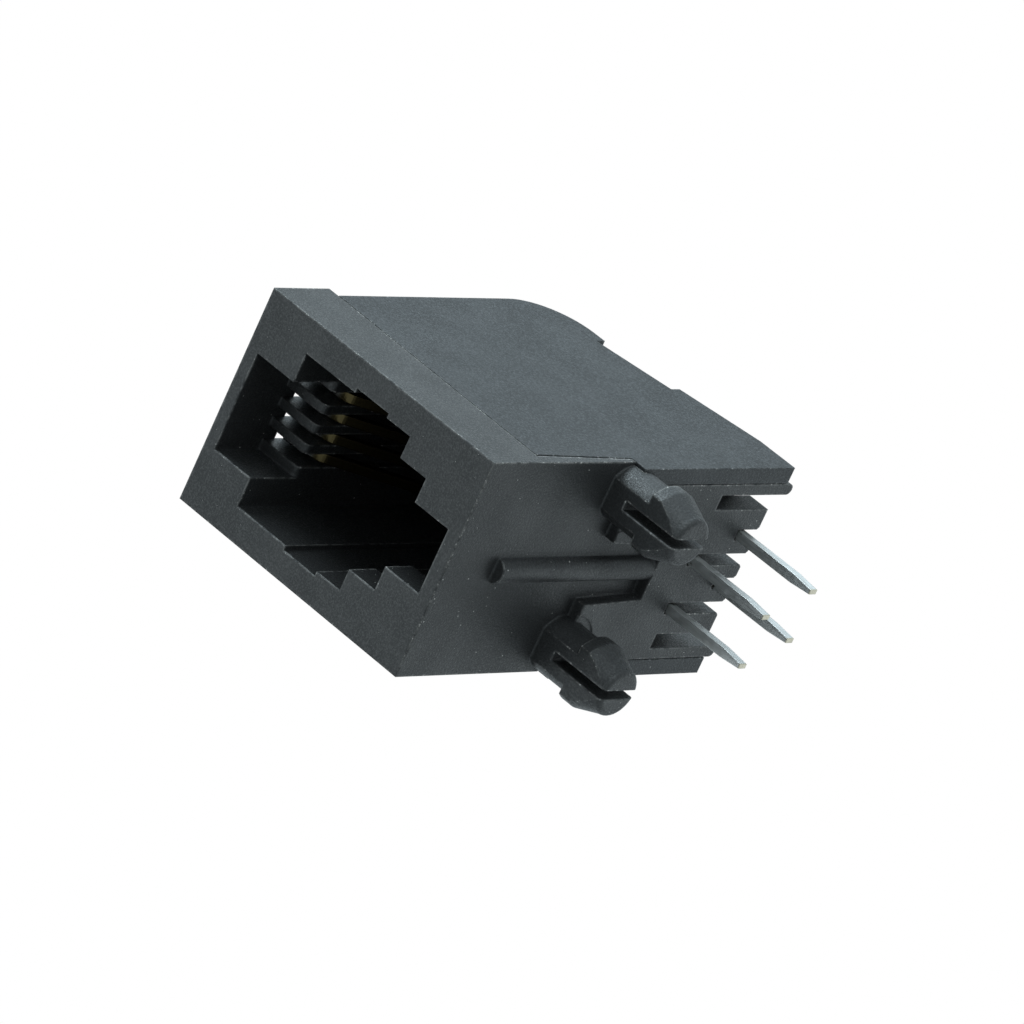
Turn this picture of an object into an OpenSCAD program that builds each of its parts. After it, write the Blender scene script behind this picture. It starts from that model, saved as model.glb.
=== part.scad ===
// Modular jack with four contacts for a printed board
// X runs across the jack, Y from the mating face to the rear, Z away from the board
// The origin lies on the board plane, midway between the two snap pegs

/* [Mating face] */
// Width of the collar and of the cover behind it
collar_w = 10.8; // [10.6:0.05:11.2]
// Depth of the collar along its top
collar_d = 3.65; // [3.55:0.05:3.9]
// How much shorter the collar is along its foot
collar_lean = 0.25; // [0.1:0.05:0.35]
// Clearance between the board and the front half of the underside
face_lift = 0.6; // [0.5:0.02:0.7]
// Thickness of the floor under the latch slot
floor_wall = 0.75; // [0.65:0.05:0.95]
// Thickness of the collar above the contact bay
lip_wall = 0.65; // [0.55:0.05:0.85]

/* [Plug port] */
// Width of the opening for the plug body
port_w = 7.8; // [7.7:0.02:7.9]
// Height of the opening for the plug body
port_h = 6.95; // [6.85:0.05:7.1]
// Depth of the plug cavity
port_d = 12.2; // [11.8:0.1:12.5]
// Width of the step below the plug body
ledge_w = 5.65; // [5.4:0.05:5.9]
// Height of the step below the plug body
ledge_h = 1.7; // [1.6:0.05:1.8]
// Width of the slot for the plug's latch arm
latch_w = 3.25; // [3.1:0.05:3.4]
// Height of the slot for the plug's latch arm
latch_h = 2.2; // [2.1:0.05:2.3]
// Thickness of the wall that the latch hooks behind
keeper_d = 1.8; // [1.6:0.1:2.2]
// Width of the room for the latch behind that wall
latch_room_w = 6.4; // [6.2:0.1:6.8]
// Depth of the shallow grooves in the side walls
key_depth = 0.22; // [0.14:0.02:0.3]
// Height of the shallow grooves
key_h = 2.1; // [1.8:0.1:2.4]
// Height of the grooves above the plug floor
key_rise = 1.55; // [1.3:0.05:1.8]

/* [Contact bay] */
// Width of the bay above the plug opening
bay_w = 4.9; // [4.8:0.05:5.1]
// Height of the bay above the plug opening
bay_h = 2.45; // [2.4:0.05:2.6]
// Distance from the mating face to the comb ribs
comb_y = 2.88; // [2.8:0.02:3]
// Width across the four slots of the comb
comb_w = 3.86; // [3.76:0.02:4]
// Thickness of the ribs between the slots
comb_rib = 0.46; // [0.42:0.02:0.5]
// Depth to which the comb slots run
comb_end = 10.2; // [9.8:0.1:10.6]
// Rounding of the lower front corner of each rib
comb_round = 0.3; // [0.2:0.05:0.4]

/* [Cover] */
// Depth from the mating face to the rear of the cover
body_d = 20.18; // [20:0.02:20.4]
// Step down from the collar to the roof of the cover
cover_drop = 0.6; // [0.56:0.02:0.7]
// Thickness of the side walls of the cover
cover_wall = 0.8; // [0.74:0.02:0.84]
// Thickness of the roof of the cover
cover_roof = 0.55; // [0.5:0.05:0.6]
// Thickness of the rear wall of the cover
cover_back = 1.3; // [1.2:0.05:1.4]
// Lean of the rear wall
back_lean = 12.2; // [11:0.1:13]
// Height of the upright foot of the rear wall
foot_h = 2.3; // [2.2:0.05:2.4]
// Lower edge of the recessed band across the rear wall
band_low = 6.8; // [6.4:0.1:7.2]
// Upper edge of the recessed band across the rear wall
band_high = 11; // [10.7:0.1:11.2]
// Depth of the recessed band
band_depth = 0.6; // [0.4:0.05:0.75]
// Rounding of the rear shoulder
shoulder_r = 3; // [2.8:0.05:3.1]
// Distance from the mating face to where the side walls reach the board
sill_y = 9.65; // [9.45:0.05:9.8]
// Height of the side walls above the board at the collar
sill_front = 1.3; // [1.2:0.02:1.4]
// Height of the side walls above the board before they reach it
sill_back = 0.92; // [0.86:0.02:1]
// Depth of the notch in the front edge of the roof
roof_notch = 0.6; // [0.5:0.05:0.8]
// Visible gap between collar, floor strips and cover
seam_gap = 0.08; // [0.05:0.01:0.12]
// Clearance between the housing and the inside of the cover
fit_gap = 0.05; // [0.03:0.01:0.08]

/* [Base plate] */
// Thickness of the plate between the tails
plate_t = 1.2; // [1.1:0.05:1.25]
// Distance from the mating face to the front edge of the plate
plate_y = 9.82; // [9.8:0.02:10]
// Width of the pocket in the front edge of the plate
pocket_w = 3.3; // [3.1:0.05:3.5]
// Narrowing of that pocket towards its end
pocket_draft = 0.5; // [0.3:0.05:0.7]
// Distance from the mating face to the end of the pocket
pocket_end = 13.63; // [13.4:0.05:13.8]
// Distance from the mating face to the rib along the underside
rib_y = 3.25; // [3:0.05:3.5]
// Distance from the mating face to the side windows
window_y = 15.9; // [15.7:0.05:16.1]
// Width across the slotted tabs
tabs_w = 6.48; // [6.3:0.02:6.6]
// Distance from the mating face to the end of the tabs
tabs_end = 19.65; // [19.5:0.05:19.8]
// Corner cut at the end of each tab
tab_cut = 0.12; // [0.08:0.02:0.16]
// Thickness of the thin side wings
wing_t = 0.55; // [0.5:0.05:0.6]
// Distance from the mating face to the end of the wings
wing_end = 20.7; // [20.6:0.05:20.8]
// Thickness of the wall behind the plug cavity
rear_stop = 1.1; // [0.9:0.1:1.3]
// Thickness of the leaning rear wall of the housing
rear_wall = 1; // [0.9:0.05:1.2]
// Rounding of the top rear corner of the housing
core_r = 1.9; // [1.8:0.05:2]

/* [Snap pegs] */
// Distance from the mating face to the pegs
peg_y = 9.72; // [9.6:0.02:9.84]
// Spacing of the pegs
peg_pitch = 7.74; // [7.68:0.02:7.8]
// Diameter of the pegs above their barb
peg_dia = 2.78; // [2.7:0.02:2.9]
// Depth of the pegs between their flat faces
peg_flat = 2.3; // [2.2:0.02:2.4]
// Length of the pegs below the board plane
peg_len = 3.75; // [3.65:0.05:3.9]
// Width of the slit between the prongs
slit_w = 0.46; // [0.4:0.02:0.52]
// Distance from the board plane to the root of the slit
slit_root = 0.5; // [0.4:0.05:0.6]
// Distance from the board plane to the shoulder of the barb
barb_z = 1.62; // [1.5:0.02:1.7]
// Diameter of the barb at its shoulder
barb_dia = 3.36; // [3.26:0.02:3.44]
// Distance from the board plane to where the barb begins to narrow
barb_mid = 2.2; // [2:0.05:2.3]
// Diameter of the barb at its end
tip_dia = 2.4; // [2.2:0.05:2.6]
// Radius of the edge around the end
tip_round = 0.3; // [0.2:0.02:0.36]
// Depth of the shallow relief in the plate round the root of a peg
relief_depth = 0.06; // [0.04:0.01:0.1]
// How far the relief reaches past the barb
relief_rim = 0.05; // [0.03:0.01:0.1]

/* [Contacts] */
// Width of the contact wire
wire_w = 0.44; // [0.4:0.01:0.46]
// Thickness of the contact wire
wire_t = 0.46; // [0.42:0.01:0.48]
// Spacing of the contacts in the plug cavity
contact_pitch = 1.02; // [1:0.01:1.04]
// Spacing of the tails across the jack
tail_pitch = 1.27; // [1.25:0.01:1.29]
// Distance between the two rows of tails
row_gap = 2.54; // [2.5:0.02:2.58]
// Length of the tails below the board plane
tail_len = 4.8; // [4.5:0.1:5.2]
// Length of the tapered end of a tail
tail_taper = 1.2; // [1:0.05:1.4]
// Width of the end of a tail
tail_end = 0.22; // [0.18:0.02:0.28]
// Clearance round a contact in its groove
wire_gap = 0.06; // [0.04:0.01:0.07]
// Clearance beside a front row tail in its notch
notch_gap = 0.08; // [0.06:0.01:0.1]
// Radius of the bend round the comb
hook_r = 0.8; // [0.76:0.02:0.84]
// Distance from the mating face to the centre of that bend
hook_y = 5.18; // [5.1:0.02:5.3]
// Fall of the springs below the level
spring_fall = 35; // [33:0.5:37]
// Length of the straight part of the springs
spring_len = 4.9; // [4.6:0.1:5.1]
// Radius of the bends at the tails
bend_r = 0.4; // [0.35:0.05:0.5]
// Height of the front row wires above the plate
kink_rise = 0.4; // [0.35:0.05:0.45]
// Distance from the mating face to the start of the fan out
fan_y = 6.5; // [6:0.1:7]
// Length over which the contacts fan out
fan_len = 6; // [5:0.1:7]

/* [Output] */
// Part to show

/* [Hidden] */
$fn = 48;
over = 1;
bend_step = 7.5;

// Heights of the stepped port, from the board up
latch_z = face_lift + floor_wall;
ledge_z = latch_z + latch_h;
port_z = ledge_z + ledge_h;
ceiling_z = port_z + port_h;
bay_z = ceiling_z + bay_h;
collar_top = bay_z + lip_wall;

// Cover and the core of the housing inside it
roof_z = collar_top - cover_drop;
core_w = collar_w - 2 * (cover_wall + fit_gap);
room_w = core_w - 2 * wing_t;
core_top = roof_z - cover_roof - fit_gap;
core_corner_z = core_top - core_r;
shoulder_y = body_d - (band_high - foot_h) * tan(back_lean);
stop_y = port_d + rear_stop;
peg_root_z = (face_lift + sill_back - seam_gap) / 2;

// Contacts: 1 and 3 end in the rear row, 2 and 4 in the front row
groove_d = wire_t + 2 * wire_gap;
groove_w = wire_w + 2 * wire_gap;
wire_in = groove_d / 2;
wire_z = core_top - wire_in;
hook_z = wire_z - hook_r;
nose_r = hook_r - wire_t / 2 - wire_gap;
rear_row_y = rear_y(foot_h, wire_in);
front_row_y = rear_row_y - row_gap;
kink_z = plate_t + kink_rise;
places = [1.5, 0.5, -0.5, -1.5];
rib_places = [1, 0, -1];
in_front_row = [false, true, false, true];

// Rear face of the cover without its band, and of the housing at a depth below its skin
function back_y(z) = body_d - max(0, z - foot_h) * tan(back_lean);
function rear_y(z, inset) =
    body_d - (z - foot_h) * tan(back_lean) - cover_back - fit_gap - inset / cos(back_lean);

// Rear edge of the collar
function seam_y(z) = collar_d - collar_lean * (collar_top - z) / (collar_top - face_lift);

function unit(v) = v / norm(v);
function left_of(v) = [-v[1], v[0]];
function turned(v, a) = [v[0] * cos(a) - v[1] * sin(a), v[0] * sin(a) + v[1] * cos(a)];

// Block from three pairs of limits
module span(x, y, z) {
    translate([x[0], y[0], z[0]])
        cube([x[1] - x[0], y[1] - y[0], z[1] - z[0]]);
}

// Block centred on the middle plane
module across(w, y, z) {
    span([-w / 2, w / 2], y, z);
}

// Side outline drawn in Y and Z, given a width across the jack
module profile(w, x = 0) {
    translate([x, 0, 0])
        rotate([90, 0, 90])
            linear_extrude(w, center = true)
                children();
}

module both_sides() {
    children();
    mirror([1, 0, 0])
        children();
}

// Side outline of the core, set in by a depth, from a front edge and a lower edge
module core_side(inset, front, low) {
    r = core_r - inset;
    top = core_top - inset;
    mid_y = rear_y(core_corner_z, inset) - r / cos(back_lean);
    polygon([
        [front, low],
        [front, top],
        [mid_y, top],
        [mid_y, core_corner_z],
        [mid_y + r * cos(back_lean), core_corner_z + r * sin(back_lean)],
        [rear_y(low, inset), low]
    ]);
    translate([mid_y, core_corner_z])
        circle(r);
}

// One long edge of a bent strip, on the left for side 1 and on the right for side -1
function strip_edge(path, radii, side) = concat(
    [path[0] + left_of(unit(path[1] - path[0])) * side * wire_t / 2],
    [
        for (i = [1 : len(path) - 2])
            let (
                before = unit(path[i] - path[i - 1]),
                after = unit(path[i + 1] - path[i]),
                turn = acos(before * after),
                hand = sign(cross(before, after)),
                r = radii[i - 1],
                middle = path[i] - before * r * tan(turn / 2) + left_of(before) * hand * r,
                steps = ceil(turn / bend_step)
            )
                for (k = [0 : steps])
                    middle
                        - turned(left_of(before), hand * turn * k / steps)
                        * (hand * r - side * wire_t / 2)
    ],
    [path[len(path) - 1] + left_of(unit(path[len(path) - 1] - path[len(path) - 2])) * side * wire_t / 2]
);

// Flat strip bent along a line of corner points, with a radius for each corner
module bent_strip(path, radii) {
    near_edge = strip_edge(path, radii, 1);
    far_edge = strip_edge(path, radii, -1);
    polygon(concat(near_edge, [for (i = [len(far_edge) - 1 : -1 : 0]) far_edge[i]]));
}

// Collar round the port
module collar() {
    profile(collar_w)
        polygon([
            [0, face_lift],
            [0, collar_top],
            [collar_d, collar_top],
            [seam_y(face_lift), face_lift]
        ]);
}

// Strip of the floor that shows below the side of the cover
module floor_strip() {
    inner = core_w / 2 - wing_t;
    outer = collar_w / 2;
    front = collar_d - over;
    back = sill_y - seam_gap;
    profile(outer - inner, (outer + inner) / 2)
        polygon([
            [front, face_lift],
            [front, sill_front - seam_gap],
            [back, sill_back - seam_gap],
            [back, face_lift]
        ]);
}

// Thin wall that stands on the board beside the plate, round at its rear end
module wing() {
    middle = (core_w - wing_t) / 2;
    round_y = wing_end - wing_t / 2;
    linear_extrude(foot_h - 2 * fit_gap) {
        translate([middle - wing_t / 2, plate_y])
            square([wing_t, round_y - plate_y]);
        translate([middle, round_y])
            circle(d = wing_t);
    }
}

// Half outline of a peg beside its axis: shank, then a barb that narrows to a rounded end
module peg_side() {
    translate([0, -barb_mid])
        square([peg_dia / 2, barb_mid + peg_root_z]);
    polygon([
        [0, -barb_z],
        [barb_dia / 2, -barb_z],
        [barb_dia / 2, -barb_mid],
        [tip_dia / 2, tip_round - peg_len],
        [tip_dia / 2 - tip_round, -peg_len],
        [0, -peg_len]
    ]);
    translate([tip_dia / 2 - tip_round, tip_round - peg_len])
        circle(tip_round);
}

// Split peg with barbed prongs on the +X side, stepped to clear the foot of the cover
module peg() {
    difference() {
        translate([peg_pitch / 2, peg_y, 0])
            intersection() {
                rotate_extrude()
                    peg_side();
                across(2 * barb_dia, [-peg_flat / 2, peg_flat / 2], [-peg_len - over, peg_root_z + over]);
            }
        span(
            [(peg_pitch - slit_w) / 2, (peg_pitch + slit_w) / 2],
            [peg_y - peg_dia, peg_y + peg_dia],
            [-peg_len - over, -slit_root]
        );
        span(
            [core_w / 2, collar_w],
            [sill_y - seam_gap, peg_y + peg_dia],
            [-fit_gap, peg_root_z + over]
        );
    }
}

// Shallow round relief that keeps the seat clear of a barb
module root_relief() {
    translate([peg_pitch / 2, peg_y, -over])
        cylinder(over + relief_depth, d = barb_dia + 2 * relief_rim);
}

// Plate under the rear half, with the tabs between the tails
module plate() {
    difference() {
        across(core_w, [plate_y, window_y], [0, plate_t]);
        translate([0, 0, -over])
            linear_extrude(face_lift + over)
                polygon([
                    [-pocket_w / 2, plate_y - over],
                    [pocket_w / 2, plate_y - over],
                    [(pocket_w - pocket_draft) / 2, pocket_end],
                    [(pocket_draft - pocket_w) / 2, pocket_end]
                ]);
    }
    across(tabs_w, [window_y - over, tabs_end], [0, plate_t]);
}

// Half round rib along the middle of the underside
module rib() {
    translate([0, pocket_end + over, face_lift])
        rotate([90, 0, 0])
            cylinder(pocket_end + over - rib_y, r = face_lift);
}

// Space for the plug, its latch and the bay above it
module port_space() {
    across(port_w, [-over, port_d], [port_z, ceiling_z]);
    across(ledge_w, [-over, keeper_d + over], [ledge_z, port_z + over]);
    across(latch_w, [-over, keeper_d + over], [latch_z, ledge_z + over]);
    across(latch_room_w, [keeper_d, port_d - over], [latch_z, port_z + over]);
    across(port_w + 2 * key_depth, [-over, port_d], [port_z + key_rise, port_z + key_rise + key_h]);
    across(bay_w, [-over, comb_y], [ceiling_z - over, bay_z]);
}

// Head of the comb, which fills the notch in the roof of the cover
module comb_head() {
    across(
        bay_w - 2 * fit_gap,
        [collar_d - over, collar_d + roof_notch - fit_gap],
        [core_top - over, roof_z]
    );
}

// Side outline of a comb slot, open to the plug and, behind the lip, to the roof
module slot_side() {
    difference() {
        union() {
            translate([comb_y - over, ceiling_z - over])
                square([hook_y - comb_y + over, bay_z - ceiling_z + over]);
            translate([collar_d, ceiling_z])
                square([hook_y - collar_d, roof_z - ceiling_z + over]);
        }
        translate([hook_y, hook_z])
            circle(nose_r);
    }
    translate([comb_y - over, ceiling_z - over])
        square([comb_end - comb_y + over, hook_z - nose_r - ceiling_z + over]);
}

// Slots of the comb on both sides of its ribs
module comb_space() {
    difference() {
        profile(comb_w)
            slot_side();
        for (x = rib_places * contact_pitch)
            span(
                [x - comb_rib / 2, x + comb_rib / 2],
                [comb_y - 2 * over, comb_end + over],
                [ceiling_z - 2 * over, roof_z + 2 * over]
            );
    }
    profile(bay_w)
        translate([comb_y, ceiling_z])
            difference() {
                square(comb_round);
                translate([comb_round, comb_round])
                    circle(comb_round);
            }
}

// Grooves for the contacts over the top and down the back of the housing
module contact_grooves() {
    for (p = places) {
        near = p * contact_pitch;
        far = p * tail_pitch;
        span(
            [near - groove_w / 2, near + groove_w / 2],
            [hook_y - over, fan_y],
            [core_top - groove_d, bay_z]
        );
        translate([0, 0, core_top - groove_d])
            linear_extrude(groove_d + over)
                polygon([
                    [near - groove_w / 2, fan_y],
                    [near + groove_w / 2, fan_y],
                    [far + groove_w / 2, fan_y + fan_len],
                    [far - groove_w / 2, fan_y + fan_len]
                ]);
        profile(groove_w, far)
            difference() {
                core_side(-over, fan_y + fan_len, foot_h - over);
                core_side(groove_d, fan_y + fan_len - over, foot_h - 2 * over);
            }
    }
}

// Room behind the plug cavity, open to the board and to the rear below the wall
module rear_room() {
    deep = groove_d + rear_wall;
    across(room_w, [window_y, wing_end + over], [-over, foot_h]);
    profile(room_w)
        polygon([
            [stop_y, plate_t],
            [stop_y, core_corner_z],
            [rear_y(core_corner_z, deep), core_corner_z],
            [rear_y(foot_h, deep), foot_h],
            [wing_end + over, foot_h],
            [wing_end + over, plate_t]
        ]);
}

// Slots for the rear row of tails and longer notches for the front row
module tail_slots() {
    for (i = [0 : 3]) {
        x = places[i] * tail_pitch;
        half = wire_w / 2 + (in_front_row[i] ? notch_gap : wire_gap);
        y = (in_front_row[i] ? front_row_y : rear_row_y) - wire_t / 2 - wire_gap;
        span([x - half, x + half], [y, tabs_end + over], [-over, plate_t + over]);
        translate([x, tabs_end, -over])
            linear_extrude(plate_t + 2 * over)
                polygon([[-half - tab_cut, over], [-half - tab_cut, 0], [-half, -tab_cut],
                    [half, -tab_cut], [half + tab_cut, 0], [half + tab_cut, over]]);
    }
}

module housing() {
    color([0.13, 0.135, 0.14])
        translate([0, -peg_y, 0])
            difference() {
                union() {
                    difference() {
                        profile(core_w)
                            core_side(0, collar_d - over, face_lift);
                        rear_room();
                    }
                    collar();
                    comb_head();
                    both_sides()
                        floor_strip();
                    difference() {
                        union() {
                            both_sides()
                                wing();
                            plate();
                        }
                        both_sides()
                            root_relief();
                    }
                    both_sides()
                        peg();
                    rib();
                }
                port_space();
                comb_space();
                contact_grooves();
                tail_slots();
            }
}

// Side outline of the cover
module cover_side() {
    difference() {
        polygon([
            [seam_y(sill_front) + seam_gap, sill_front],
            [seam_y(roof_z) + seam_gap, roof_z],
            [shoulder_y, roof_z],
            [shoulder_y, band_high],
            [shoulder_y - band_depth, band_high],
            [back_y(band_low) - band_depth, band_low],
            [back_y(band_low), band_low],
            [body_d, foot_h],
            [body_d, 0],
            [sill_y, 0],
            [sill_y, sill_back]
        ]);
        translate([shoulder_y - shoulder_r, roof_z - shoulder_r])
            difference() {
                square(shoulder_r + over);
                circle(shoulder_r);
            }
    }
}

module cover() {
    inner_w = core_w + 2 * fit_gap;
    color([0.15, 0.155, 0.16])
        translate([0, -peg_y, 0])
            difference() {
                profile(collar_w)
                    cover_side();
                profile(inner_w)
                    core_side(-fit_gap, 0, -over);
                across(inner_w, [sill_y, body_d + over], [-over, foot_h]);
                across(bay_w, [0, collar_d + roof_notch], [core_top, roof_z + over]);
            }
}

// One formed wire: spring, bend, fan out, rear run and tail
module contact(i) {
    near = places[i] * contact_pitch;
    far = places[i] * tail_pitch;
    tip = tail_taper - tail_len;
    hook_cut = hook_r * tan((180 - spring_fall) / 2);
    hook = [hook_y - hook_cut, wire_z];
    free_end = hook + [cos(spring_fall), -sin(spring_fall)] * (hook_cut + spring_len);
    corner = [rear_y(wire_z, wire_in), wire_z];
    kink = [rear_y(kink_z, wire_in), kink_z];
    fan_end = fan_y + fan_len;
    tail_y = in_front_row[i] ? front_row_y : rear_row_y;
    color([0.83, 0.69, 0.36])
        translate([0, -peg_y, 0]) {
            profile(wire_w, near)
                bent_strip([free_end, hook, [fan_y, wire_z]], [hook_r]);
            translate([0, 0, wire_z - wire_t / 2])
                linear_extrude(wire_t)
                    polygon([
                        [near - wire_w / 2, fan_y],
                        [near + wire_w / 2, fan_y],
                        [far + wire_w / 2, fan_end],
                        [far - wire_w / 2, fan_end]
                    ]);
            if (in_front_row[i])
                profile(wire_w, far)
                    bent_strip(
                        [[fan_end, wire_z], corner, kink, [tail_y, kink_z], [tail_y, tip]],
                        [core_r - wire_in, bend_r, bend_r]
                    );
            else
                profile(wire_w, far)
                    bent_strip(
                        [[fan_end, wire_z], corner, [tail_y, foot_h], [tail_y, tip]],
                        [core_r - wire_in, 2 * bend_r]
                    );
            translate([far, tail_y, 0])
                rotate([90, 0, 0])
                    linear_extrude(wire_t, center = true)
                        polygon([
                            [-wire_w / 2, tip],
                            [wire_w / 2, tip],
                            [tail_end / 2, -tail_len],
                            [-tail_end / 2, -tail_len]
                        ]);
        }
}

module contact_1() {
    contact(0);
}

module contact_2() {
    contact(1);
}

module contact_3() {
    contact(2);
}

module contact_4() {
    contact(3);
}

housing();
cover();
contact_1();
contact_2();
contact_3();
contact_4();
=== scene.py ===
import bpy
from mathutils import Matrix, Vector


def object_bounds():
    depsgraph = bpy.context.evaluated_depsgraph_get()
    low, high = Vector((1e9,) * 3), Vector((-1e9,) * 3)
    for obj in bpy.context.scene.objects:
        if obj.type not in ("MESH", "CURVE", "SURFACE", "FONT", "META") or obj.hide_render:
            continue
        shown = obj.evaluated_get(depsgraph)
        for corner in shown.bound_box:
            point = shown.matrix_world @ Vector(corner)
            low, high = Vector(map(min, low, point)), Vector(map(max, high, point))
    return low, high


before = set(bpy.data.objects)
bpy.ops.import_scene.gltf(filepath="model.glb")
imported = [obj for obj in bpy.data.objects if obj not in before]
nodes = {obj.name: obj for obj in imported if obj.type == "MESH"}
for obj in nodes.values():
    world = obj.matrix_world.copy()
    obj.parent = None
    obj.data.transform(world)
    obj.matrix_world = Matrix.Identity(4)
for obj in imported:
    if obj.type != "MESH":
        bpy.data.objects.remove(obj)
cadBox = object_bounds()
print("jack: frame loaded,", len(nodes), "nodes")


# small helpers for node trees

def newNode(tree, kind, x, y, **values):
    n = tree.nodes.new(kind)
    n.location = (x, y)
    for key, value in values.items():
        setattr(n, key, value)
    return n


def feed(tree, socket, value):
    # a number or colour is set on the socket, an output is linked to it
    if isinstance(value, (int, float, tuple)):
        socket.default_value = value
    else:
        tree.links.new(value, socket)


def newGroup(name, inputs, outputs):
    tree = bpy.data.node_groups.new(name, "ShaderNodeTree")
    for label, kind, value in inputs:
        s = tree.interface.new_socket(label, in_out="INPUT", socket_type=kind)
        if value is not None:
            s.default_value = value
    for label, kind in outputs:
        tree.interface.new_socket(label, in_out="OUTPUT", socket_type=kind)
    start = newNode(tree, "NodeGroupInput", -900, 0)
    end = newNode(tree, "NodeGroupOutput", 700, 0)
    return tree, start, end


def placeGroup(tree, group, x, y, **values):
    n = newNode(tree, "ShaderNodeGroup", x, y, node_tree=group)
    for key, value in values.items():
        n.inputs[key].default_value = value
    return n


def mathNode(tree, op, x, y, a, b):
    n = newNode(tree, "ShaderNodeMath", x, y, operation=op)
    feed(tree, n.inputs[0], a)
    feed(tree, n.inputs[1], b)
    return n.outputs[0]


def rampNode(tree, source, low, high, x, y, toLow=0.0, toHigh=1.0):
    n = newNode(tree, "ShaderNodeMapRange", x, y, interpolation_type="SMOOTHSTEP")
    n.inputs["From Min"].default_value = low
    n.inputs["From Max"].default_value = high
    n.inputs["To Min"].default_value = toLow
    n.inputs["To Max"].default_value = toHigh
    tree.links.new(source, n.inputs["Value"])
    return n.outputs["Result"]


def noiseNode(tree, vector, scale, detail, rough, x, y):
    n = newNode(tree, "ShaderNodeTexNoise", x, y)
    n.inputs["Detail"].default_value = detail
    n.inputs["Roughness"].default_value = rough
    tree.links.new(vector, n.inputs["Vector"])
    feed(tree, n.inputs["Scale"], scale)
    return n.outputs["Fac"]


def mixColor(tree, mask, a, b, x, y):
    n = newNode(tree, "ShaderNodeMix", x, y, data_type="RGBA")
    tree.links.new(mask, n.inputs[0])
    feed(tree, n.inputs[6], a)
    feed(tree, n.inputs[7], b)
    return n.outputs[2]


def addBump(tree, shader, height, normal, strength, depth, x, y):
    n = newNode(tree, "ShaderNodeBump", x, y)
    n.inputs["Strength"].default_value = strength
    n.inputs["Distance"].default_value = depth
    tree.links.new(height, n.inputs["Height"])
    tree.links.new(normal, n.inputs["Normal"])
    tree.links.new(n.outputs["Normal"], shader.inputs["Normal"])


# moulded grain: fine pebbled skin, pale and dark grains in the resin, slow clouds over both

grainSet = {
    "fineTimes": 2.2,  # noise scale of each layer, as a multiple of Grain Scale
    "grainTimes": 1.3,
    "cloudTimes": 0.05,
    "fineShare": 0.5,
    "skinNoise": (2.0, 0.6),  # detail and roughness of each noise
    "grainNoise": (3.0, 0.7),
    "cloudNoise": (3.0, 0.55),
    "grainRange": (0.42, 0.68),
    "cloudRange": (0.3, 0.7),
}


def buildMouldGrain(look):
    tree, start, end = newGroup(
        "mouldGrain",
        [("Vector", "NodeSocketVector", None), ("Grain Scale", "NodeSocketFloat", 9000.0)],
        [("Height", "NodeSocketFloat"), ("Grains", "NodeSocketFloat"), ("Mottle", "NodeSocketFloat")],
    )
    vec, scale = start.outputs["Vector"], start.outputs["Grain Scale"]
    fineScale = mathNode(tree, "MULTIPLY", -700, 0, scale, look["fineTimes"])
    grainScale = mathNode(tree, "MULTIPLY", -700, -200, scale, look["grainTimes"])
    cloudScale = mathNode(tree, "MULTIPLY", -700, -400, scale, look["cloudTimes"])
    coarse = noiseNode(tree, vec, scale, *look["skinNoise"], -500, 200)
    fine = noiseNode(tree, vec, fineScale, *look["skinNoise"], -500, 0)
    faint = mathNode(tree, "MULTIPLY", -200, 50, fine, look["fineShare"])
    height = mathNode(tree, "ADD", 0, 200, coarse, faint)
    speckled = noiseNode(tree, vec, grainScale, *look["grainNoise"], -500, -200)
    grains = rampNode(tree, speckled, *look["grainRange"], -200, -200)
    cloudy = noiseNode(tree, vec, cloudScale, *look["cloudNoise"], -500, -400)
    mottle = rampNode(tree, cloudy, *look["cloudRange"], -200, -400)
    tree.links.new(height, end.inputs["Height"])
    tree.links.new(grains, end.inputs["Grains"])
    tree.links.new(mottle, end.inputs["Mottle"])
    return tree


# dust: single pale specks, thinned out by a random pick for each cell

dustSet = {"leastSize": 0.35}


def buildDustSpecks(look):
    tree, start, end = newGroup(
        "dustSpecks",
        [("Vector", "NodeSocketVector", None), ("Scale", "NodeSocketFloat", 3000.0),
         ("Share", "NodeSocketFloat", 0.1), ("Size", "NodeSocketFloat", 0.18)],
        [("Mask", "NodeSocketFloat")],
    )
    cell = newNode(tree, "ShaderNodeTexVoronoi", -700, 100, feature="F1")
    tree.links.new(start.outputs["Vector"], cell.inputs["Vector"])
    tree.links.new(start.outputs["Scale"], cell.inputs["Scale"])
    parts = newNode(tree, "ShaderNodeSeparateColor", -500, -50)
    tree.links.new(cell.outputs["Color"], parts.inputs[0])
    chosen = mathNode(tree, "LESS_THAN", -200, -50, parts.outputs[0], start.outputs["Share"])
    spread = mathNode(tree, "ADD", -350, -300, parts.outputs[1], look["leastSize"])
    size = mathNode(tree, "MULTIPLY", -200, -200, start.outputs["Size"], spread)
    near = mathNode(tree, "LESS_THAN", 0, 100, cell.outputs["Distance"], size)
    tree.links.new(mathNode(tree, "MULTIPLY", 200, 0, near, chosen), end.inputs["Mask"])
    return tree


# soft edge: normal rounded over a small radius, and a broken mask where it turns on a free edge that light
# reaches; the mask carries a rubbed edge tint and a painted edge highlight

edgeSet = {
    "turn": (0.996, 0.93),  # cosine between the flat and the rounded normal
    "cornerReach": 0.0003,  # keeps the pale edge tint off inner corners
    "cornerRange": (0.75, 0.95),
    "portReach": 0.004,  # keeps the painted edge highlight off edges deep in the shaded port
    "portRange": (0.4, 0.75),
    "breakNoise": (3.0, 0.65),
    "breakRange": (0.36, 0.62),
    "bevelSamples": 8,
    "openSamples": 4,
}


def openMask(tree, reach, limits, samples, y):
    free = newNode(tree, "ShaderNodeAmbientOcclusion", -600, y, samples=samples, only_local=True)
    free.inputs["Distance"].default_value = reach
    return rampNode(tree, free.outputs["AO"], *limits, -200, y)


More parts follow.
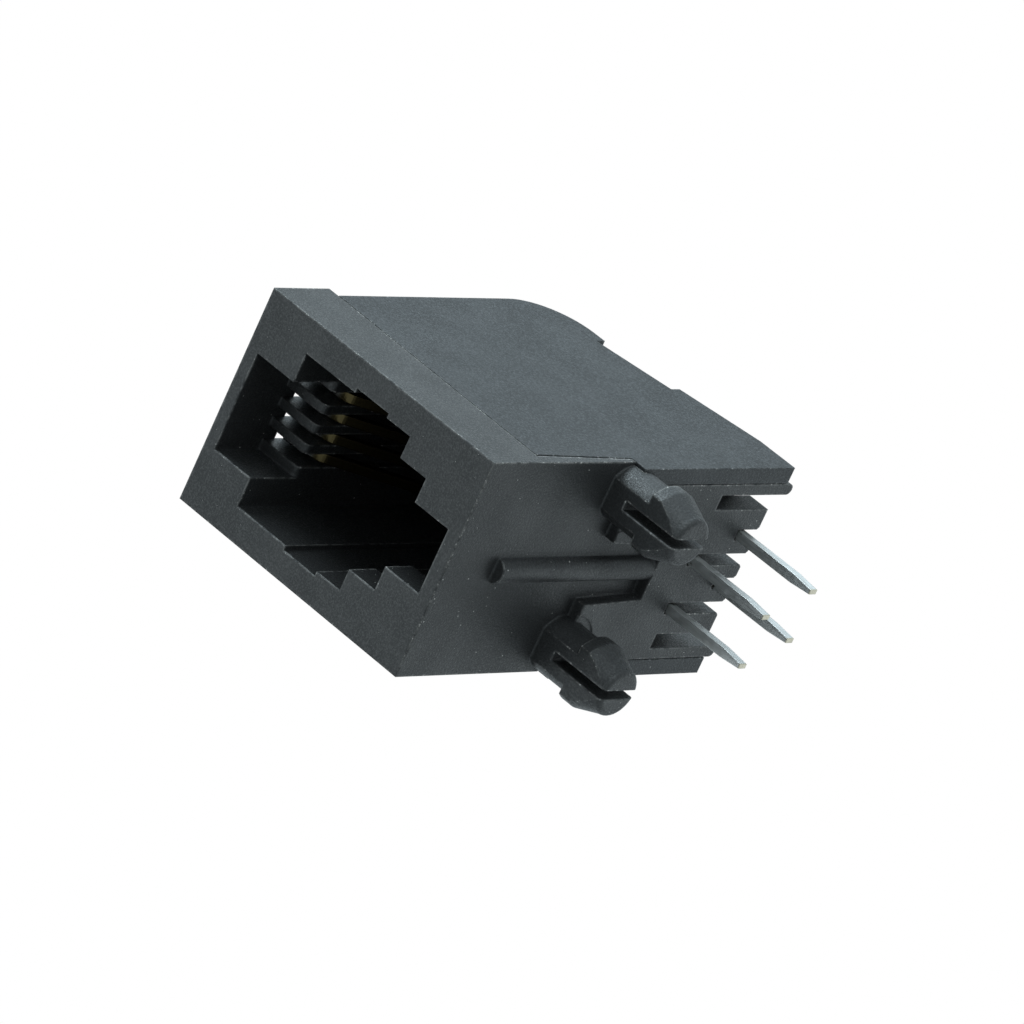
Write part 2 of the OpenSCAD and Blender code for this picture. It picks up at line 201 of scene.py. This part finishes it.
def buildSoftEdge(look):
    tree, start, end = newGroup(
        "softEdge",
        [("Vector", "NodeSocketVector", None), ("Radius", "NodeSocketFloat", 0.0001),
         ("Break Up", "NodeSocketFloat", 2500.0)],
        [("Normal", "NodeSocketVector"), ("Mask", "NodeSocketFloat")],
    )
    bevel = newNode(tree, "ShaderNodeBevel", -600, 100, samples=look["bevelSamples"])
    tree.links.new(start.outputs["Radius"], bevel.inputs["Radius"])
    flat = newNode(tree, "ShaderNodeNewGeometry", -600, -100)
    dot = newNode(tree, "ShaderNodeVectorMath", -400, 0, operation="DOT_PRODUCT")
    tree.links.new(bevel.outputs[0], dot.inputs[0])
    tree.links.new(flat.outputs["Normal"], dot.inputs[1])
    turned = rampNode(tree, dot.outputs["Value"], *look["turn"], -200, 0)
    outer = openMask(tree, look["cornerReach"], look["cornerRange"], look["openSamples"], -550)
    reached = openMask(tree, look["portReach"], look["portRange"], look["openSamples"], -800)
    free = mathNode(tree, "MULTIPLY", 0, -500, outer, reached)
    edge = mathNode(tree, "MULTIPLY", 0, -100, turned, free)
    vec, breakUp = start.outputs["Vector"], start.outputs["Break Up"]
    patchy = noiseNode(tree, vec, breakUp, *look["breakNoise"], -500, -300)
    tree.links.new(bevel.outputs[0], end.inputs["Normal"])
    broken = rampNode(tree, patchy, *look["breakRange"], -200, -300)
    tree.links.new(mathNode(tree, "MULTIPLY", 200, 0, edge, broken), end.inputs["Mask"])
    return tree


mouldGrain = buildMouldGrain(grainSet)
dustSpecks = buildDustSpecks(dustSet)
softEdge = buildSoftEdge(edgeSet)
print("jack: shared shader groups built")


# black plastic of the housing and the cover: dark resin, the grey comes from its dull gloss

plasticBase = {
    "dustScale": 4200.0,
    "dustSize": 0.1,
    "dustCover": 0.8,
    "edgeDustScale": 8000.0,
    "edgeDustShare": 0.5,
    "edgeDustSize": 0.34,
    # share of the pale edge tint: partly rubbed wear, partly a painted highlight
    "rubHighlightShare": 0.46,
    "cloudTint": 0.25,
    "grainGloss": 0.8,  # pale grains are the glossier ones
    "cloudGloss": 0.3,
    "grainDepth": 0.00003,
}
housingLook = {
    **plasticBase,
    "dark": (0.008, 0.0083, 0.0086, 1.0),
    "light": (0.022, 0.0226, 0.0228, 1.0),
    "gloss": (0.97, 0.99, 1.0, 1.0),
    "level": 0.29,
    "grainScale": 9000.0,
    "roughness": (0.54, 0.3),
    "bump": 0.9,
    "edgeRadius": 0.00017,
    # pale edge colour: rubbed wear and a painted highlight
    "rubHighlightTint": (0.2, 0.198, 0.192, 1.0),
    "dustShare": 0.15,
    "dustTint": (0.48, 0.47, 0.45, 1.0),
}
coverLook = {
    **plasticBase,
    "dark": (0.005, 0.0055, 0.006, 1.0),
    "light": (0.026, 0.0285, 0.031, 1.0),
    "gloss": (0.95, 0.98, 1.0, 1.0),
    "level": 0.25,
    "grainScale": 8200.0,
    "roughness": (0.54, 0.42),
    "bump": 0.8,
    "edgeRadius": 0.0001,
    # pale edge colour: rubbed wear and a painted highlight
    "rubHighlightTint": (0.13, 0.132, 0.132, 1.0),
    "dustShare": 0.09,
    "dustTint": (0.34, 0.34, 0.335, 1.0),
}


def mouldedPlastic(name, look):
    mat = bpy.data.materials.new(name)
    mat.use_nodes = True
    tree = mat.node_tree
    shader = tree.nodes["Principled BSDF"]
    shader.inputs["Specular IOR Level"].default_value = look["level"]
    shader.inputs["Specular Tint"].default_value = look["gloss"]
    vec = newNode(tree, "ShaderNodeTexCoord", -1500, 0).outputs["Object"]
    grain = placeGroup(tree, mouldGrain, -1200, 200, **{"Grain Scale": look["grainScale"]})
    edge = placeGroup(tree, softEdge, -1200, -100, Radius=look["edgeRadius"])
    dust = placeGroup(tree, dustSpecks, -1200, -350,
                      Scale=look["dustScale"], Share=look["dustShare"], Size=look["dustSize"])
    edgeDust = placeGroup(tree, dustSpecks, -1200, -600,
                          Scale=look["edgeDustScale"], Share=look["edgeDustShare"], Size=look["edgeDustSize"])
    for g in (grain, edge, dust, edgeDust):
        tree.links.new(vec, g.inputs["Vector"])
    resin = mixColor(tree, grain.outputs["Grains"], look["dark"], look["light"], -900, 200)
    clouds = mathNode(tree, "MULTIPLY", -1000, 0, grain.outputs["Mottle"], look["cloudTint"])
    cloudy = mixColor(tree, clouds, resin, look["light"], -700, 150)
    # pale tint on free edges that light reaches: rubbed wear and a painted edge highlight
    edgeRubHighlight = mathNode(tree, "MULTIPLY", -800, -100, edge.outputs["Mask"], look["rubHighlightShare"])
    rubbedHighlit = mixColor(tree, edgeRubHighlight, cloudy, look["rubHighlightTint"], -500, 100)
    onEdge = mathNode(tree, "MULTIPLY", -900, -600, edgeDust.outputs["Mask"], edge.outputs["Mask"])
    specks = mathNode(tree, "MAXIMUM", -700, -400, dust.outputs["Mask"], onEdge)
    cover = mathNode(tree, "MULTIPLY", -550, -300, specks, look["dustCover"])
    dusty = mixColor(tree, cover, rubbedHighlit, look["dustTint"], -300, 50)
    tree.links.new(dusty, shader.inputs["Base Color"])
    spots = mathNode(tree, "MULTIPLY", -800, 400, grain.outputs["Grains"], look["grainGloss"])
    hazy = mathNode(tree, "MULTIPLY", -800, 550, grain.outputs["Mottle"], look["cloudGloss"])
    shiny = mathNode(tree, "ADD", -650, 450, spots, hazy)
    rough = rampNode(tree, shiny, 0.0, 1.0, -500, 350, *look["roughness"])
    tree.links.new(rough, shader.inputs["Roughness"])
    addBump(tree, shader, grain.outputs["Height"], edge.outputs["Normal"],
            look["bump"], look["grainDepth"], -300, -300)
    return mat


# contact wire: gold on the spring, painted dark as shade inside the port, nickel over the top, dull tin on
# the tail, bare metal at the tip

contactLook = {
    # gold plating darkened far below real gold: painted shade of the port
    "shadedGold": (0.055, 0.043, 0.02, 1.0),
    "goldRough": 0.25,
    "nickel": (0.2, 0.2, 0.19, 1.0),
    "tin": (0.51, 0.515, 0.51, 1.0),
    "tinDark": (0.42, 0.425, 0.42, 1.0),
    "tinRough": (0.38, 0.48),
    "bare": (0.38, 0.35, 0.28, 1.0),
    "tinTop": 0.0001,  # heights where one finish gives way to the next
    "goldTop": 0.0128,
    "tipAt": -0.00474,
    "fade": 0.0002,
    "tipFadeUp": 0.00004,
    "tipFadeDown": 0.00003,
    "ragged": 0.0018,
    "streakScale": 9000.0,
    "streakSquash": (1.0, 1.0, 0.08),  # drawn streaks run along the tail
    "streakNoise": (3.0, 0.55),
    "streakRange": (0.35, 0.65),
    "streakBump": 0.03,
    "streakDepth": 0.00002,
    "blotScale": 3500.0,
    "blotNoise": (3.0, 0.6),
    "blotRange": (0.3, 0.7),
    "blotMiddle": 0.5,
    "edgeRadius": 0.00004,
}


def contactMetal(name, look):
    mat = bpy.data.materials.new(name)
    mat.use_nodes = True
    tree = mat.node_tree
    shader = tree.nodes["Principled BSDF"]
    shader.inputs["Metallic"].default_value = 1.0
    vec = newNode(tree, "ShaderNodeTexCoord", -1500, 0).outputs["Object"]
    along = newNode(tree, "ShaderNodeMapping", -1300, 150)
    along.inputs["Scale"].default_value = look["streakSquash"]
    tree.links.new(vec, along.inputs["Vector"])
    streak = noiseNode(tree, along.outputs["Vector"], look["streakScale"], *look["streakNoise"], -1100, 200)
    blot = noiseNode(tree, vec, look["blotScale"], *look["blotNoise"], -1100, -50)
    axis = newNode(tree, "ShaderNodeSeparateXYZ", -1300, -250)
    tree.links.new(vec, axis.inputs[0])
    shake = mathNode(tree, "SUBTRACT", -1100, -350, blot, look["blotMiddle"])
    shake = mathNode(tree, "MULTIPLY", -950, -350, shake, look["ragged"])
    ragged = mathNode(tree, "ADD", -800, -250, axis.outputs["Z"], shake)
    low, top, tip, fade = look["tinTop"], look["goldTop"], look["tipAt"], look["fade"]
    goldMask = rampNode(tree, ragged, low - fade, low + fade, -600, -250)
    tipMask = rampNode(tree, axis.outputs["Z"],
                       tip + look["tipFadeUp"], tip - look["tipFadeDown"], -600, -450)
    drawn = rampNode(tree, streak, *look["streakRange"], -800, 200)
    tin = mixColor(tree, drawn, look["tinDark"], look["tin"], -600, 200)
    topMask = rampNode(tree, axis.outputs["Z"], top - fade, top + fade, -600, -600)
    # the dark gold here is painted shade on the spring inside the port
    upper = mixColor(tree, topMask, look["shadedGold"], look["nickel"], -500, 0)
    plated = mixColor(tree, goldMask, tin, upper, -400, 100)
    ended = mixColor(tree, tipMask, plated, look["bare"], -200, 100)
    tree.links.new(ended, shader.inputs["Base Color"])
    dull = rampNode(tree, blot, *look["blotRange"], -600, -50, *look["tinRough"])
    shine = newNode(tree, "ShaderNodeMix", -200, -100, data_type="FLOAT")
    shine.inputs[3].default_value = look["goldRough"]
    tree.links.new(goldMask, shine.inputs[0])
    tree.links.new(dull, shine.inputs[2])
    tree.links.new(shine.outputs[0], shader.inputs["Roughness"])
    edge = placeGroup(tree, softEdge, -600, -700, Radius=look["edgeRadius"])
    tree.links.new(vec, edge.inputs["Vector"])
    addBump(tree, shader, streak, edge.outputs["Normal"],
            look["streakBump"], look["streakDepth"], -200, -300)
    return mat


housingPlastic = mouldedPlastic("housingPlastic", housingLook)
coverPlastic = mouldedPlastic("coverPlastic", coverLook)
contactPlating = contactMetal("contactPlating", contactLook)
print("jack: materials built")


# the solids keep their shape, each piece only gets its finish

finishes = {"housing": housingPlastic, "cover": coverPlastic}

for name, obj in nodes.items():
    obj.data.materials.clear()
    obj.data.materials.append(finishes.get(name, contactPlating))
print("jack: finishes laid on", len(nodes), "nodes")


# camera at the photo's angle, from below and in front of the jack

cameraSet = {
    "place": (0.118216, -0.264246, -0.181647),
    "right": (0.396865, 0.642403, -0.655595),
    "up": (0.851196, 0.009714, 0.524758),
    "pixels": 7808.1,  # focal length in pixels of a square frame
    "frame": 1024.0,
    "sensor": 36.0,
    "near": 0.01,
    "far": 10.0,
}


def addCamera(look):
    cam = bpy.data.cameras.new("photoCamera")
    cam.sensor_width = look["sensor"]
    cam.lens = look["pixels"] / look["frame"] * cam.sensor_width
    cam.clip_start = look["near"]
    cam.clip_end = look["far"]
    obj = bpy.data.objects.new("photoCamera", cam)
    bpy.context.scene.collection.objects.link(obj)
    right, up = Vector(look["right"]), Vector(look["up"])
    turn = Matrix((right, up, right.cross(up))).transposed().to_4x4()
    turn.translation = Vector(look["place"])
    obj.matrix_world = turn
    bpy.context.scene.camera = obj


# soft lamps: three on the lit side, two weak ones in front and a weak one low behind

lampAim = {"at": (0.0, 0.0, 0.006), "far": 0.4}
lampSet = {
    "sideRear": {"from": (0.75, 0.45, 0.5), "size": 0.3, "power": 0.5, "tint": (0.72, 0.9, 1.0)},
    "sideFront": {"from": (0.79, -0.12, 0.58), "size": 0.2, "power": 1.8, "tint": (0.8, 0.94, 1.0)},
    "sideLow": {"from": (0.9, -0.2, -0.33), "size": 0.3, "power": 1.0, "tint": (0.85, 0.96, 1.0)},
    "frontFill": {"from": (-0.3, -0.75, 0.5), "size": 0.3, "power": 0.4, "tint": (0.9, 0.98, 1.0)},
    "cameraFill": {"from": (0.34, -0.77, -0.54), "size": 0.15, "power": 0.12, "tint": (0.9, 0.98, 1.0)},
    "lowRear": {"from": (-0.1, 0.75, -0.65), "size": 0.3, "power": 0.25, "tint": (0.9, 0.98, 1.0)},
}


def addLamps(lamps, aim):
    for name, look in lamps.items():
        lamp = bpy.data.lights.new(name, "AREA")
        lamp.shape = "SQUARE"
        lamp.size = look["size"]
        lamp.energy = look["power"]
        lamp.color = look["tint"]
        obj = bpy.data.objects.new(name, lamp)
        bpy.context.scene.collection.objects.link(obj)
        way = Vector(look["from"]).normalized()
        obj.location = Vector(aim["at"]) + way * aim["far"]
        obj.rotation_euler = way.to_track_quat("Z", "Y").to_euler()


# world: plain white to the camera, cool white in reflections, half as strong in the soft light on the jack

worldSet = {"ambient": 0.5, "cool": (0.84, 0.955, 1.0, 1.0), "white": (1.0, 1.0, 1.0, 1.0)}


def addWorld(look):
    world = bpy.data.worlds.new("paleStudio")
    bpy.context.scene.world = world
    world.use_nodes = True
    tree = world.node_tree
    back = tree.nodes["Background"]
    path = newNode(tree, "ShaderNodeLightPath", -800, 0)
    hue = mixColor(tree, path.outputs["Is Camera Ray"], look["cool"], look["white"], -200, 200)
    tree.links.new(hue, back.inputs["Color"])
    seen = mathNode(tree, "MAXIMUM", -500, 0, path.outputs["Is Camera Ray"], path.outputs["Is Glossy Ray"])
    seen = mathNode(tree, "MAXIMUM", -350, 0, seen, path.outputs["Is Transmission Ray"])
    tree.links.new(rampNode(tree, seen, 0.0, 1.0, -200, 0, look["ambient"], 1.0), back.inputs["Strength"])


# pale floor under the tails: seen from above only, so the low camera looks past it

floorSet = {
    "half": 0.5,
    "tint": (0.76, 0.75, 0.745, 1.0),
    "cloud": (0.79, 0.78, 0.775, 1.0),
    "cloudScale": 9.0,
    "cloudNoise": (3.0, 0.5),
    "rough": 0.8,
}


def addFloor(look, height):
    h = look["half"]
    mesh = bpy.data.meshes.new("paleFloor")
    corners = [(x, y, height) for x, y in ((-h, -h), (h, -h), (h, h), (-h, h))]
    mesh.from_pydata(corners, [], [(0, 1, 2, 3)])
    obj = bpy.data.objects.new("paleFloor", mesh)
    bpy.context.scene.collection.objects.link(obj)
    mat = bpy.data.materials.new("paleFloorPaint")
    mat.use_nodes = True
    tree = mat.node_tree
    shader = tree.nodes["Principled BSDF"]
    shader.inputs["Roughness"].default_value = look["rough"]
    place = newNode(tree, "ShaderNodeTexCoord", -900, 100)
    cloud = noiseNode(tree, place.outputs["Object"], look["cloudScale"], *look["cloudNoise"], -700, 100)
    paint = mixColor(tree, cloud, look["tint"], look["cloud"], -400, 100)
    tree.links.new(paint, shader.inputs["Base Color"])
    path = newNode(tree, "ShaderNodeLightPath", -900, -200)
    side = newNode(tree, "ShaderNodeNewGeometry", -900, -500)
    hidden = mathNode(tree, "SUBTRACT", -700, -200, 1.0, path.outputs["Is Camera Ray"])
    hidden = mathNode(tree, "MAXIMUM", -500, -300, hidden, side.outputs["Backfacing"])
    clear = newNode(tree, "ShaderNodeBsdfTransparent", -200, -200)
    both = newNode(tree, "ShaderNodeMixShader", 200, 100)
    tree.links.new(hidden, both.inputs[0])
    tree.links.new(shader.outputs[0], both.inputs[1])
    tree.links.new(clear.outputs[0], both.inputs[2])
    tree.links.new(both.outputs[0], tree.nodes["Material Output"].inputs["Surface"])
    mesh.materials.append(mat)


addCamera(cameraSet)
addLamps(lampSet, lampAim)
addWorld(worldSet)
addFloor(floorSet, cadBox[0][2])
bpy.context.scene.view_settings.view_transform = "Standard"
print("jack: camera, lamps, world and floor set")
